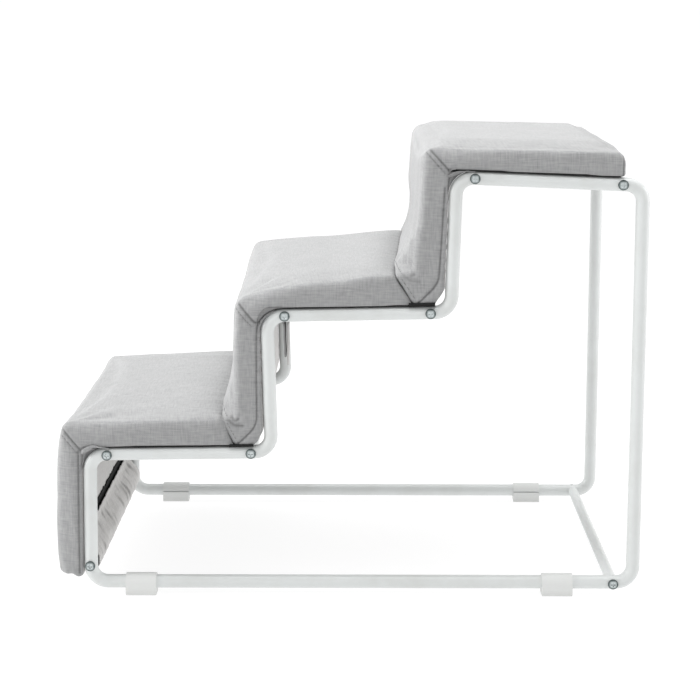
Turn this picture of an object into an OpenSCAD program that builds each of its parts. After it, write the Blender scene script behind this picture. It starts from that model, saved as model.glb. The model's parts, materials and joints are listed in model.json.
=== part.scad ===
// Three-step pet steps: two bent-tube side frames joined by eight crossbars, carrying one
// zig-zag padded cover. The steps climb towards +X, Y is the width and Z is up. The origin is
// on the floor, in the middle of the footprint.

/* [Frame tube] */
// Outside diameter of the side frame tube
tube_d = 16; // [14:1:18]
// Wall of the side frame tube and of the crossbars
tube_wall = 1.2; // [0.9:0.1:1.6]
// Centreline radius of every bend
bend_r = 20; // [18:1:22]
// Width over the two side frames
frame_w = 400; // [340:10:480]

/* [Steps] */
// Depth of one tread between frame corners
tread_run = 214; // [200:1:240]
// Height of each riser between frame corners, lowest riser first
riser_rise = [156, 163, 157]; // [150:1:175]
// Lean of each riser, as how far its top stands behind its foot
riser_lean = [2, -4.5, 4.5]; // [-6:0.5:6]
// Tilt of each tread, as how far its rear end is above its front end
tread_tilt = [3, 4, -9]; // [-10:1:10]

/* [Crossbars and bolts] */
// Outside diameter of each crossbar
bar_d = 13; // [12:0.5:14]
// Distance from a frame corner to the crossbar behind it
bar_from_front = 21; // [20:0.5:26]
// Distance from a crossbar to the frame corner behind it
bar_from_rear = 24; // [20:0.5:28]
// Thread diameter of the bolts
bolt_d = 6; // [5:1:6]
// Diameter of the bolt heads
bolt_head_d = 12; // [10:0.5:13]

/* [Feet] */
// Length of each clip-on foot along the runner
foot_l = 36; // [30:1:44]
// Depth of the sole below the tube
foot_sole = 7; // [5:0.5:9]
// Distance from the front corner to the middle of the front feet
foot_front_x = 60; // [50:1:90]
// Distance from the front corner to the middle of the rear feet
foot_rear_x = 554; // [500:1:580]

/* [Cushion] */
// Thickness of each pad
pad_t = 30; // [24:1:36]
// Thickness of the sewn cover
cover_t = 1.6; // [1.2:0.1:2.5]
// Thickness of the board under each tread's foam
board_t = 5; // [3:0.5:8]
// Height of the front pad's lower end above the runner's centreline
pad_foot = 11; // [9:1:14]
// Gap from the top pad's rear end to the rear post's centreline
pad_end_gap = 20; // [12:1:30]

/* [Flap and straps] */
// Thickness of the flap and the straps
flap_t = 2; // [1.6:0.2:2.4]
// Height of the top edge of the front flap above the runner's centreline
front_flap_h = 64; // [58:1:90]
// Height of the hook tape strip
tape_h = 24; // [20:1:28]
// Depth to which the straps hang below their crossbar's centreline
strap_drop = 66; // [40:1:70]
// Width of the front flap and its tape
front_flap_w = 356; // [300:2:360]
// Width of each strap on the second step's front crossbar
strap_w = 30; // [20:1:40]
// Distance from the middle of the cover to the middle of each strap
strap_y = 160; // [100:1:163]

/* [Hidden] */
$fn = 64;

fit = 0.2;             // clearance between neighbours that lie against each other
seat = 0.3;            // gap between the pads and the frame tube
tube_r = tube_d / 2;
bar_r = bar_d / 2;
bolt_hole_r = bolt_d / 2 + 0.3;
bolt_r = bolt_d / 2 - 0.05;
head_h = 3.2;
head_crown = 1.4;      // height of the head's domed part
recess_w = 1.5;        // width of each arm of the cross recess
recess_l = 5.6;
recess_h = 1.8;
bolt_reach = 19;       // how far a bolt goes into its crossbar
insert_l = 24;
band_t = 0.05;         // thickness of the band that joins a straight run to a bend
band_l = 1;
foot_wall = 2.4;
foot_slit = 2;
foot_bevel = 1.5;
foot_z = tube_r + foot_sole;             // height of the runner's centreline
frame_y = frame_w / 2 - tube_r;          // from the middle to a side frame's centreline
pad_in = tube_r + seat;                  // from a tube's centreline to the pad's back
pad_out = pad_in + pad_t;

// Corners of the frame's centreline, seen from the side: up the steps, down the rear post and
// back along the runner.
step_1_top = [riser_lean[0], riser_rise[0]];
step_1_end = step_1_top + [tread_run, tread_tilt[0]];
step_2_top = step_1_end + [riser_lean[1], riser_rise[1]];
step_2_end = step_2_top + [tread_run, tread_tilt[1]];
step_3_top = step_2_end + [riser_lean[2], riser_rise[2]];
step_3_end = step_3_top + [tread_run, tread_tilt[2]];
CORNERS = [[0, 0], step_1_top, step_1_end, step_2_top, step_2_end, step_3_top, step_3_end,
    [step_3_end[0], 0]];
RISER_1 = 0;
TREAD_1 = 1;
RISER_2 = 2;
TREAD_2 = 3;
RISER_3 = 4;
TREAD_3 = 5;
RUNNER = 7;

function unit(v) = v / norm(v);
function left_of(v) = [-v[1], v[0]];
function corner(i) = CORNERS[(i + len(CORNERS)) % len(CORNERS)];
function dir(i) = unit(corner(i + 1) - corner(i));
function run_len(i) = norm(corner(i + 1) - corner(i));
// Point at distance s along run i and d to its left, which is the side of the pads
function beside(i, s, d) = corner(i) + dir(i) * s + left_of(dir(i)) * d;
// Corner between the directions u and v, moved d to the left of both
function mitre(p, u, v, d) = p + (left_of(u) + left_of(v)) * d / (1 + left_of(u) * left_of(v));
function pad_corner(i, d) = mitre(corner(i), dir(i - 1), dir(i), d);
// A closed outline that runs clockwise, moved inwards by d
function inset(pts, d) = [for (i = [0 : len(pts) - 1])
    let (a = pts[(i + len(pts) - 1) % len(pts)], b = pts[i], c = pts[(i + 1) % len(pts)])
    mitre(b, unit(b - a), unit(c - b), -d)];
// One edge of a strip of cloth that follows a path, d to the left of it
function strip_edge(path, d) = [for (i = [0 : len(path) - 1])
    let (u = unit(path[max(i, 1)] - path[max(i, 1) - 1]),
        last = len(path) - 1,
        v = unit(path[min(i, last - 1) + 1] - path[min(i, last - 1)]))
    mitre(path[i], u, v, d)];
function reversed(pts) = [for (i = [len(pts) - 1 : -1 : 0]) pts[i]];

// Distance from a frame corner to where its bend begins, and the bend's signed turn
function turn(i) = let (u = dir(i - 1), v = dir(i))
    atan2(u[0] * v[1] - u[1] * v[0], u * v);
function bend_cut(i) = bend_r * tan(abs(turn(i)) / 2);

// The footprint runs from the front pad's lower edge to the rear post's back.
front_x = beside(RISER_1, pad_foot, pad_out)[0];
rear_x = step_3_end[0] + tube_r;
middle_x = (front_x + rear_x) / 2;

// Where the eight crossbars meet the side frames: front bottom, both ends of each tread, rear bottom
BARS = [beside(RISER_1, bar_from_front, 0),
    beside(TREAD_1, bar_from_front, 0), beside(TREAD_1, run_len(TREAD_1) - bar_from_rear, 0),
    beside(TREAD_2, bar_from_front, 0), beside(TREAD_2, run_len(TREAD_2) - bar_from_rear, 0),
    beside(TREAD_3, bar_from_front, 0), beside(TREAD_3, run_len(TREAD_3) - bar_from_rear, 0),
    beside(RUNNER, bar_from_rear, 0)];
BAR_RUNS = [RISER_1, TREAD_1, TREAD_1, TREAD_2, TREAD_2, TREAD_3, TREAD_3, RUNNER];

// Pockets of the cover, each a clockwise outline. Pads meet at a diagonal mitre over an outer
// corner and at an upright seam in an inner corner, where the riser pad's heel is cut back
// to clear the frame's bend.
seam_in = 43;          // from the inner frame corner to the seam, along the tread
heel_in = 20;          // from the inner frame corner to the riser pad's heel, along the tread
heel_up = 26;          // height at which the riser pad's back begins
board_in = 5;          // from a pocket's outside to its board
function tread_pocket(i) = [pad_corner(i, pad_in), pad_corner(i, pad_out), pad_corner(i + 1, pad_out),
    beside(i, run_len(i) - seam_in, pad_in)];
function riser_pocket(i) = [beside(i - 1, run_len(i - 1) - heel_in, pad_in),
    beside(i - 1, run_len(i - 1) - seam_in, pad_in), pad_corner(i, pad_out),
    pad_corner(i + 1, pad_out), pad_corner(i + 1, pad_in), beside(i, heel_up, pad_in)];
FRONT_POCKET = [beside(RISER_1, pad_foot, pad_in), beside(RISER_1, pad_foot, pad_out),
    pad_corner(TREAD_1, pad_out), pad_corner(TREAD_1, pad_in)];
TOP_POCKET = [pad_corner(TREAD_3, pad_in), pad_corner(TREAD_3, pad_out),
    beside(TREAD_3, run_len(TREAD_3) - pad_end_gap, pad_out),
    beside(TREAD_3, run_len(TREAD_3) - pad_end_gap, pad_in)];

// Cloth flaps, as paths in the middle of the cloth. The front flap leaves the front pad's lower
// edge, passes under the front crossbar and leans back on the hook tape.
sewn_gap = 1.5;        // room for a flap's sewn edge to turn beside its pad
under_bar = bar_from_front - bar_r - flap_t;
behind_bar = -bar_r - flap_t;
tape_face = pad_in - fit - 1.5;
tape_top = front_flap_h + 7;
FRONT_FLAP = [beside(RISER_1, under_bar, pad_in - sewn_gap),
    beside(RISER_1, under_bar, behind_bar / 2),
    beside(RISER_1, under_bar + 4, behind_bar),
    beside(RISER_1, bar_from_front + 10, behind_bar),
    beside(RISER_1, front_flap_h - 14, tape_face - flap_t),
    beside(RISER_1, front_flap_h, tape_face - flap_t)];
// A strap hangs behind the second step's front crossbar and closes below it on a shorter tab
strap_s = bar_from_front + bar_r + flap_t;
tab_s = bar_from_front - bar_r - flap_t;
STRAP = [beside(TREAD_2, strap_s, pad_in - sewn_gap),
    beside(TREAD_2, strap_s, -3),
    beside(TREAD_2, bar_from_front + 1.7, -bar_r - 6.5),
    beside(TREAD_2, bar_from_front + 1, -strap_drop)];
STRAP_TAB = [beside(TREAD_2, tab_s, pad_in - fit),
    beside(TREAD_2, tab_s, -3),
    beside(TREAD_2, bar_from_front - 0.9, -bar_r - 6.5),
    beside(TREAD_2, bar_from_front - 1.6, -strap_drop + 8)];

// Turns a side view drawn in X and Y so that it stands in X and Z, at the height of the runner
module stand() {
    translate([-middle_x, 0, foot_z])
    rotate([90, 0, 0])
    children();
}

// One straight run of a side frame as a solid rod lying in X and Y. A hair-thin band at each
// end joins it to the bends.
module rod_run(i, d) {
    start = beside(i, bend_cut(i), 0);
    length = run_len(i) - bend_cut(i) - bend_cut(i + 1);
    translate([start[0], start[1], 0])
    rotate([0, 0, atan2(dir(i)[1], dir(i)[0])])
    rotate([0, 90, 0]) {
        cylinder(d = d, h = length);
        for (s = [0, length]) {
            translate([0, 0, s - band_l / 2])
            cylinder(d = d + 2 * band_t, h = band_l);
        }
    }
}

// The bend that leads into a run, at the corner before it
module rod_bend(i, d) {
    start = beside(i, bend_cut(i), 0);
    pivot = beside(i, bend_cut(i), sign(turn(i)) * bend_r);
    arm = start - pivot;
    translate([pivot[0], pivot[1], 0])
    rotate([0, 0, atan2(arm[1], arm[0]) - max(turn(i), 0)])
    rotate_extrude(angle = abs(turn(i)))
    translate([bend_r, 0])
    circle(d = d);
}

// The closed loop of a side frame as a solid rod
module rod_loop(d) {
    for (i = [0 : len(CORNERS) - 1]) {
        rod_bend(i, d);
        rod_run(i, d);
    }
}

// side is -1 for the right side frame and 1 for the left one
module side_frame(side) {
    color("white")
    difference() {
        translate([0, side * frame_y, 0])
        stand()
        difference() {
            rod_loop(tube_d);
            rod_loop(tube_d - 2 * tube_wall);
        }
        for (p = BARS) {
            at_bar(p, side)
            cylinder(r = bolt_hole_r, h = 3 * tube_d, center = true);
        }
    }
}

// Places a shape drawn along Z so that it lies along Y, its +Z end outwards on the given side
module at_bar(p, side) {
    translate([p[0] - middle_x, side * frame_y, p[1] + foot_z])
    rotate([-90 * side, 0, 0])
    children();
}

// A crossbar tube whose ends are coped to sit against the two frame tubes
module crossbar(k) {
    color("white")
    difference() {
        translate([BARS[k][0] - middle_x, 0, BARS[k][1] + foot_z])
        rotate([90, 0, 0])
        difference() {
            cylinder(d = bar_d, h = 2 * frame_y, center = true);
            cylinder(d = bar_d - 2 * tube_wall, h = 3 * frame_y, center = true);
        }
        for (side = [-1, 1]) {
            translate([0, side * frame_y, 0])
            stand()
            coping(BAR_RUNS[k]);
        }
    }
}

// The part of a side frame's rod around one run, which a crossbar's end is cut to
module coping(i) {
    rod_bend(i, tube_d);
    rod_run(i, tube_d);
    rod_bend((i + 1) % len(CORNERS), tube_d);
}

// Threaded plugs pressed into the crossbar ends on one side
module threaded_inserts(side) {
    color("silver")
    for (p = BARS) {
        at_bar(p, side)
        translate([0, 0, -tube_r - insert_l - fit])
        difference() {
            cylinder(d = bar_d - 2 * tube_wall, h = insert_l);
            translate([0, 0, -1])
            cylinder(d = bolt_d, h = insert_l + 2);
        }
    }
}

// Pan-head bolts with a cross recess, one through the frame tube into each crossbar end
module bolts(side) {
    color("silver")
    for (p = BARS) {
        at_bar(p, side)
        translate([0, 0, tube_r])
        difference() {
            union() {
                translate([0, 0, -tube_d - bolt_reach])
                cylinder(r = bolt_r, h = tube_d + bolt_reach + 1);
                cylinder(d = bolt_head_d, h = head_h - head_crown);
                bolt_crown();
            }
            for (turn_by = [0, 90]) {
                rotate([0, 0, turn_by])
                translate([-recess_l / 2, -recess_w / 2, head_h - recess_h])
                cube([recess_l, recess_w, recess_h + 1]);
            }
        }
    }
}

// The domed top of a bolt head: the cap of a large ball
module bolt_crown() {
    head_r = bolt_head_d / 2;
    ball_r = (head_r * head_r + head_crown * head_crown) / (2 * head_crown);
    intersection() {
        translate([0, 0, head_h - ball_r])
        sphere(r = ball_r);
        translate([0, 0, head_h - head_crown])
        cylinder(d = bolt_head_d, h = head_crown + 1);
    }
}

// A plastic sleeve with a flat sole that springs over the runner through a slit on its inner side
module foot(x, side) {
    outer_r = tube_r + foot_wall;
    color("whitesmoke")
    translate([x - middle_x - foot_l / 2, side * frame_y, foot_z])
    rotate([90, 0, 90])
    difference() {
        union() {
            cylinder(r = outer_r, h = foot_l);
            linear_extrude(height = foot_l)
            polygon([[-outer_r, 0], [outer_r, 0], [outer_r, -foot_z + foot_bevel],
                [outer_r - foot_bevel, -foot_z], [-outer_r + foot_bevel, -foot_z],
                [-outer_r, -foot_z + foot_bevel]]);
        }
        translate([0, 0, -1])
        cylinder(r = tube_r, h = foot_l + 2);
        translate([side > 0 ? -outer_r - 1 : 0, -foot_slit / 2, -1])
        cube([outer_r + 1, foot_slit, foot_l + 2]);
    }
}

// A solid of the given width whose side view is an outline
module across(pts, w) {
    stand()
    linear_extrude(height = w, center = true)
    polygon(pts);
}

// One sewn pocket: a closed cloth shell around its filling
module pocket(pts) {
    color("darkgray")
    difference() {
        across(pts, frame_w);
        across(inset(pts, cover_t), frame_w - 2 * cover_t);
    }
}

// What fills a pocket, before it is shared between foam and board
module filling(pts) {
    across(inset(pts, cover_t + fit), frame_w - 2 * (cover_t + fit));
}

// The layer of a tread's pocket that its board takes up
module board_layer(i) {
    under = pad_in - cover_t;
    top = pad_in + cover_t + fit + board_t;
    across([beside(i, -pad_out, under), beside(i, -pad_out, top),
        beside(i, run_len(i) + pad_out, top), beside(i, run_len(i) + pad_out, under)], frame_w);
}

// A tread's board, cut a little smaller than its pocket
module tread_board(i, end_gap) {
    low = pad_in + cover_t + fit;
    high = pad_in + cover_t + board_t;
    color("burlywood")
    across([beside(i, board_in - pad_in, low), beside(i, board_in - pad_in, high),
        beside(i, run_len(i) - end_gap - board_in, high),
        beside(i, run_len(i) - end_gap - board_in, low)], frame_w - 2 * board_in);
}

module tread_foam(i, pts) {
    color("lightyellow")
    difference() {
        filling(pts);
        translate([0, 0, fit])
        board_layer(i);
    }
}

module riser_foam(pts) {
    color("lightyellow")
    filling(pts);
}

// A strip of cloth that follows a path
module cloth(path, w, t) {
    across(concat(strip_edge(path, t / 2), reversed(strip_edge(path, -t / 2))), w);
}

module hook_tape() {
    color("black")
    across([beside(RISER_1, tape_top - tape_h, tape_face),
        beside(RISER_1, tape_top - tape_h, pad_in - fit),
        beside(RISER_1, tape_top, pad_in - fit),
        beside(RISER_1, tape_top, tape_face)], front_flap_w);
}

module front_flap() {
    color("darkgray")
    cloth(FRONT_FLAP, front_flap_w, flap_t);
}

module strap(side) {
    color("darkgray")
    translate([0, side * strap_y, 0])
    cloth(STRAP, strap_w, flap_t);
}

module strap_tab(side) {
    color("dimgray")
    translate([0, side * strap_y, 0])
    cloth(STRAP_TAB, strap_w, flap_t);
}

side_frame(-1);  // side_frame_right
side_frame(1);  // side_frame_left
crossbar(0);  // crossbar_front_bottom
crossbar(1);  // crossbar_step1_front
crossbar(2);  // crossbar_step1_rear
crossbar(3);  // crossbar_step2_front
crossbar(4);  // crossbar_step2_rear
crossbar(5);  // crossbar_step3_front
crossbar(6);  // crossbar_step3_rear
crossbar(7);  // crossbar_rear_bottom
threaded_inserts(-1);  // threaded_inserts_right
threaded_inserts(1);  // threaded_inserts_left
bolts(-1);  // bolts_right
bolts(1);  // bolts_left
foot(foot_front_x, -1);  // foot_front_right
foot(foot_front_x, 1);  // foot_front_left
foot(foot_rear_x, -1);  // foot_rear_right
foot(foot_rear_x, 1);  // foot_rear_left
tread_board(TREAD_1, seam_in);  // tread_board_1
tread_board(TREAD_2, seam_in);  // tread_board_2
tread_board(TREAD_3, pad_end_gap);  // tread_board_3
tread_foam(TREAD_1, tread_pocket(TREAD_1));  // tread_foam_1
tread_foam(TREAD_2, tread_pocket(TREAD_2));  // tread_foam_2
tread_foam(TREAD_3, TOP_POCKET);  // tread_foam_3
riser_foam(FRONT_POCKET);  // riser_foam_1
riser_foam(riser_pocket(RISER_2));  // riser_foam_2
riser_foam(riser_pocket(RISER_3));  // riser_foam_3
pocket(tread_pocket(TREAD_1));  // tread_cover_1
pocket(tread_pocket(TREAD_2));  // tread_cover_2
pocket(TOP_POCKET);  // tread_cover_3
pocket(FRONT_POCKET);  // riser_cover_1
pocket(riser_pocket(RISER_2));  // riser_cover_2
pocket(riser_pocket(RISER_3));  // riser_cover_3
hook_tape();
front_flap();
strap_tab(-1);  // strap_tab_right
strap_tab(1);  // strap_tab_left
strap(-1);  // strap_right
strap(1);  // strap_left
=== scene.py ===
import json
from math import acos, cos, exp, pi, radians, sin, sqrt, tan
from types import SimpleNamespace

import bmesh
import bpy
import numpy as np
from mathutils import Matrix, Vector
from mathutils.bvhtree import BVHTree
from numpy.linalg import norm


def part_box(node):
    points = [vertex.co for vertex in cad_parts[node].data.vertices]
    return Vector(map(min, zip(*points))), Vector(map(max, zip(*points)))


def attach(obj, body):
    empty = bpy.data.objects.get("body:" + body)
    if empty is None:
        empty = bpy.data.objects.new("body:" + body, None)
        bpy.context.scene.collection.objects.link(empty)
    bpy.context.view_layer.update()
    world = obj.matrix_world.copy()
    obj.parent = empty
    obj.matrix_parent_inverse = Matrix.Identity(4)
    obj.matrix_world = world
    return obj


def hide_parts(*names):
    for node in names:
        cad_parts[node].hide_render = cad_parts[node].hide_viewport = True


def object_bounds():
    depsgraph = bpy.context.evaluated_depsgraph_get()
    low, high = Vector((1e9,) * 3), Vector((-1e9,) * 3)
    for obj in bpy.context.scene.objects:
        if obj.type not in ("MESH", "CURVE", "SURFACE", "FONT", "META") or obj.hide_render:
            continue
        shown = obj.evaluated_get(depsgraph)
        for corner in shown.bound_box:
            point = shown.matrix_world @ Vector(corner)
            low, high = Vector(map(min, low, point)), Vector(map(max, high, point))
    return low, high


# The looks of the three-step pet steps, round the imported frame. Everything is in metres in the
# row frame: the steps climb towards +X, Y is the width and Z is up.
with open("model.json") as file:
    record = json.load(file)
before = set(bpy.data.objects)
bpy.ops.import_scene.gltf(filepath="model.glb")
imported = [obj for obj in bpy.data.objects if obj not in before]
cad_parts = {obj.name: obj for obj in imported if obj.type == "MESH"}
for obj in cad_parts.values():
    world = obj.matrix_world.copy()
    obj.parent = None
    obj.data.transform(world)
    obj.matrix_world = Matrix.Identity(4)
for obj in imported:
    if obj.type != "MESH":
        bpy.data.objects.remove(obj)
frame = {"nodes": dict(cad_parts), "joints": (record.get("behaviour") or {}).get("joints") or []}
CAD_LOW, CAD_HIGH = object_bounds()
MM = 0.001
STEPS = (0, 1, 2)
SIDES = (-1, 1)
HALF_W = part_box("tread_cover_1")[1].y  # half the cushion's width
SCENE = bpy.context.scene

# --- Camera, light and floor
CAMERA_PLACE = (0.0148, -2.127, 0.6966)
CAMERA_DOWN = radians(9.33)
CAMERA_TURN = radians(0.40)
CAMERA_LENS = 87.2  # millimetres, on a 36 mm sensor
CAMERA_SHIFT = -0.10
FLOOR_GLOW = 0.85
SKY = 0.42  # brightness all round
LIGHT_SIZE = 2.2
LIGHTS = (("light_above", (0.05, 0.1, 2.4), 60), ("light_left", (-3.2, 0.0, 1.2), 108),
          ("light_right", (3.2, 0.3, 0.9), 30))  # name, place and power in watts


def add_object(name, data, place=(0, 0, 0)):
    """Puts data into the scene as a new object."""
    thing = bpy.data.objects.new(name, data)
    thing.location = place
    SCENE.collection.objects.link(thing)
    return thing


def make_camera():
    data = bpy.data.cameras.new("camera")
    data.lens = CAMERA_LENS
    data.sensor_width = 36
    data.shift_y = CAMERA_SHIFT
    camera = add_object("camera", data, CAMERA_PLACE)
    camera.rotation_euler = (pi / 2 - CAMERA_DOWN, 0, CAMERA_TURN)
    SCENE.camera = camera


def make_light(name, place, size, power):
    """A square soft light that faces the middle of the object."""
    data = bpy.data.lights.new(name, "AREA")
    data.size = size
    data.energy = power
    towards = (CAD_LOW + CAD_HIGH) / 2 - Vector(place)
    add_object(name, data, place).rotation_euler = towards.to_track_quat("-Z", "Y").to_euler()


def make_world(strength):
    world = bpy.data.worlds.new("studio")
    world.use_nodes = True
    background = world.node_tree.nodes["Background"]
    background.inputs["Color"].default_value = (1.0, 1.0, 1.0, 1)
    background.inputs["Strength"].default_value = strength
    SCENE.world = world


def make_floor(radius=6.0, bend=2.0, wall=4.0, spokes=96):
    """A pale round floor that curves up into a low wall, so that no edge shows."""
    ring = [(0.0, 0.0), (radius, 0.0)]
    ring += [(radius + bend * sin(a), bend * (1 - cos(a)))
             for a in np.linspace(0, pi / 2, 9)[1:]]
    ring += [(radius + bend, wall)]
    bm = bmesh.new()
    profile = [bm.verts.new((r, 0, z)) for r, z in ring]
    edges = [bm.edges.new(pair) for pair in zip(profile, profile[1:])]
    bmesh.ops.spin(bm, geom=profile + edges, axis=(0, 0, 1), cent=(0, 0, 0),
                   angle=2 * pi, steps=spokes, use_duplicate=False)
    bmesh.ops.remove_doubles(bm, verts=bm.verts, dist=1e-5)
    floor = object_from(bm, "studio_floor")
    wear(floor, floor_paint())


# --- Small tools for meshes
def object_from(bm, name, orient=True):
    """A smooth shaded object made from a bmesh, which is freed."""
    if orient:
        bmesh.ops.recalc_face_normals(bm, faces=bm.faces)
    mesh = bpy.data.meshes.new(name)
    bm.to_mesh(mesh)
    bm.free()
    mesh.shade_smooth()
    return add_object(name, mesh)


def wear(piece, *materials):
    """Gives a piece these materials and no others."""
    piece.data.materials.clear()
    for material in materials:
        piece.data.materials.append(material)


def read_vectors(items, field):
    """One (x, y, z) row for each of a mesh's vertices, faces or normals."""
    values = np.empty(len(items) * 3, np.float32)
    items.foreach_get(field, values)
    return values.reshape(-1, 3).astype(float)


def read_numbers(items, field):
    values = np.empty(len(items), np.int32)
    items.foreach_get(field, values)
    return values


def places(mesh):
    return read_vectors(mesh.vertices, "co")


def normals(mesh):
    return read_vectors(mesh.vertex_normals, "vector")


def set_places(mesh, co):
    mesh.vertices.foreach_set("co", co.astype(np.float32).ravel())
    mesh.update()


def side_points(points, y):
    """The places of side-view points (x, z) at a given y."""
    return [(p[0], y, p[1]) for p in points]


def face_rings(bm, rings):
    """Joins closed rings of vertices one after the other, and closes the first and the last."""
    made = []
    for low, high in zip(rings, rings[1:]):
        for i in range(len(low)):
            j = (i + 1) % len(low)
            made.append(bm.faces.new((low[i], low[j], high[j], high[i])))
    return made + [bm.faces.new(rings[0][::-1]), bm.faces.new(rings[-1])]


def reshape(piece, kind, **settings):
    """Puts the piece's mesh through one modifier."""
    modifier = piece.modifiers.new(kind, kind)
    for name, value in settings.items():
        setattr(modifier, name, value)
    graph = bpy.context.evaluated_depsgraph_get()
    old, piece.data = piece.data, bpy.data.meshes.new_from_object(piece.evaluated_get(graph))
    piece.modifiers.clear()
    bpy.data.meshes.remove(old)


def unit(v):
    return v / norm(v)


def left_of(v):
    return np.array([-v[1], v[0]])


def bend(a, b, c, shares):
    """Points on the curve from a to c that is drawn towards b."""
    return [(1 - t) ** 2 * a + 2 * t * (1 - t) * b + t * t * c for t in shares]


def distance_from(points, place):
    return norm(points - place, axis=1)


def distance_to(points, line):
    """How far each (x, z) point is from a polyline, and how far along it the nearest place is."""
    best = np.full(len(points), np.inf)
    along = np.zeros(len(points))
    gone = 0.0
    for a, b in zip(line, line[1:]):
        length = norm(b - a)
        t = np.clip((points - a) @ (b - a) / length ** 2, 0, 1)
        d = norm(points - a - t[:, None] * (b - a), axis=1)
        nearer = d < best
        best[nearer] = d[nearer]
        along[nearer] = gone + t[nearer] * length
        gone += length
    return best, along


def near_line(co, line, reach):
    """Which points lie nearer than reach to a line, seen from the side."""
    return distance_to(co[:, [0, 2]], line)[0] < reach


def waves(points, pitch, seed, count=8):
    """A smooth random field, about -1 to 1, whose bumps are about pitch across."""
    rng = np.random.default_rng(seed)
    total = np.zeros(len(points))
    for _ in range(count):
        direction = unit(rng.normal(size=points.shape[1]))
        length = pitch * rng.uniform(0.7, 1.7)
        total += np.sin(points @ direction * 2 * pi / length + rng.uniform(0, 2 * pi))
    return total / sqrt(count * 2)


def field(a, b, pitch, seed):
    """waves over a grid whose places are given by the grids a and b."""
    return waves(np.stack([a.ravel(), b.ravel()], 1), pitch, seed).reshape(a.shape)


def smooth(x, low, high):
    t = np.clip((x - low) / (high - low), 0, 1)
    return t * t * (3 - 2 * t)


def by_side(co, start, full):
    """0 for points further in from the cushion's side than start, 1 from full on outwards."""
    return smooth(np.abs(co[:, 1]), HALF_W - start, HALF_W - full)


# --- What the frame says about the side view
def outline(node):
    """The side view of a node that is the same right across, as ordered (x, z) points."""
    mesh = frame["nodes"][node].data
    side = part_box(node)[1].y
    count = {}
    spot = [(round(v.co.x, 5), round(v.co.z, 5)) for v in mesh.vertices]
    for face in mesh.polygons:
        if all(abs(mesh.vertices[i].co.y - side) < 1e-5 for i in face.vertices):
            ring = [spot[i] for i in face.vertices]
            for pair in zip(ring, ring[1:] + ring[:1]):
                count[frozenset(pair)] = count.get(frozenset(pair), 0) + 1
    edges = [tuple(e) for e, n in count.items() if n == 1 and len(e) == 2]
    walk = list(edges.pop())
    while edges:
        found = next((e for e in edges if walk[-1] in e), None)
        if found is None:
            break
        edges.remove(found)
        walk.append(found[0] if found[1] == walk[-1] else found[1])
    return np.array(walk[:-1])


def shared(a, b):
    """The points of outline a that are points of outline b too."""
    return [p for p in a if min(norm(b - p, axis=1)) < 5e-5]


def others(a, *known):
    """The points of outline a that are none of the known ones."""
    return [p for p in a if min(norm(p - q) for q in known) > 5e-5]


def read_side_view():
    """The named points of the cushion's side view, as (x, z)."""
    riser = [outline(f"riser_cover_{k + 1}") for k in STEPS]
    tread = [outline(f"tread_cover_{k + 1}") for k in STEPS]
    view = SimpleNamespace(inner=[], outer=[], seam_low=[], seam_top=[], heel=[None], back=[None])
    for k in STEPS:
        inner, outer = sorted(shared(riser[k], tread[k]), key=lambda p: p[1] - p[0])
        view.inner.append(inner)
        view.outer.append(outer)
        if k < 2:
            low, top = sorted(shared(tread[k], riser[k + 1]), key=lambda p: p[1])
            rest = others(riser[k + 1], low, top, *shared(riser[k + 1], tread[k + 1]))
            heel, back = sorted(rest, key=lambda p: p[1])
            view.seam_low.append(low)
            view.seam_top.append(top)
            view.heel.append(heel)
            view.back.append(back)
    rest = others(riser[0], view.inner[0], view.outer[0])
    view.foot_out, view.foot_in = sorted(rest, key=lambda p: p[0])
    rest = others(tread[2], view.inner[2], view.outer[2])
    view.end_in, view.end_out = sorted(rest, key=lambda p: p[1])
    return view


VIEW = read_side_view()

# --- The sewn cushions
BASE_T = 1.3 * MM  # thickness of the black base cloth under each tread
HEEL_T = (2.6 * MM, 4.4 * MM)  # and of its folded ends under the next risers
BASE_END = (1 * MM, 1 * MM, 7 * MM)  # how far before the tread's end each base cloth stops
TOE = (20 * MM, 25 * MM)  # how far the risers' feet roll forward over the treads
TOE_RISE = 4 * MM  # how far their seams lie above the treads' tops
TOE_KNEE = 38 * MM  # height of the knee in the toes' curve
TOE_UP = 85 * MM  # height up to which the toes reach
EDGE_R = 4.5 * MM  # rounding of the side edges
CORNER_R = 10 * MM  # rounding of the outer corners
SIDE_IN = 0.4 * MM  # the sides start this far in, because the pads swell
VOXEL = 4 * MM  # size of the squares that the cushions' cloth starts with
SWELL = 4.5 * MM  # the furthest that the filling pushes the cloth out
INWARD_STOPPED = 0.8  # the share of its movement inwards that the foam holds out
BASE_HOLD = 1.6 * MM  # the cloth is held this near to the base while it swells
SEAM_HOLD = 2.2 * MM  # and this near to the seams
HEM = 4.5 * MM  # width of the hem along the side panel's lower edge
# The creases above each riser's toe, from the seam's lower end: forward and up, in mm
TOE_CREASES = (((-6, 31), (-1, 26), (10, 25)), ((-3.5, 36), (1, 30), (4.5, 33)))
END_SEAM_IN = 4 * MM  # from the top pad's rear end to the seam on its side
BEND_OUT = 28.3 * MM  # from a frame bend's centre to the pads
CORNER_ROLL = (6 * MM, 6 * MM, 5 * MM)  # how far the side edge turns in at each outer corner
EDGE_DROP = (0, 1.5 * MM, 4 * MM)  # how far the treads' tops slope down to their sides
TOE_SLOPE = 1.3  # how steeply the toes turn in from the side
FRONT_BELLY = 2.2 * MM  # how far the front pad bellies out half-way down
FRONT_TUCK = 4 * MM  # and how far its upper corner is drawn in
FRONT_LOW = 3.5 * MM  # how far its cloth hangs below its foot
END_BLUNT = 3 * MM  # how far the top pad's rear edge is pressed in
TOP_WEDGE = (-2.2 * MM, 2.6 * MM)  # how far the top pad's upper side lies off at its ends
TOE_SKEW = (-5 * MM, 15 * MM)  # how far the third riser's toe is set back on the right and left
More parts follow.
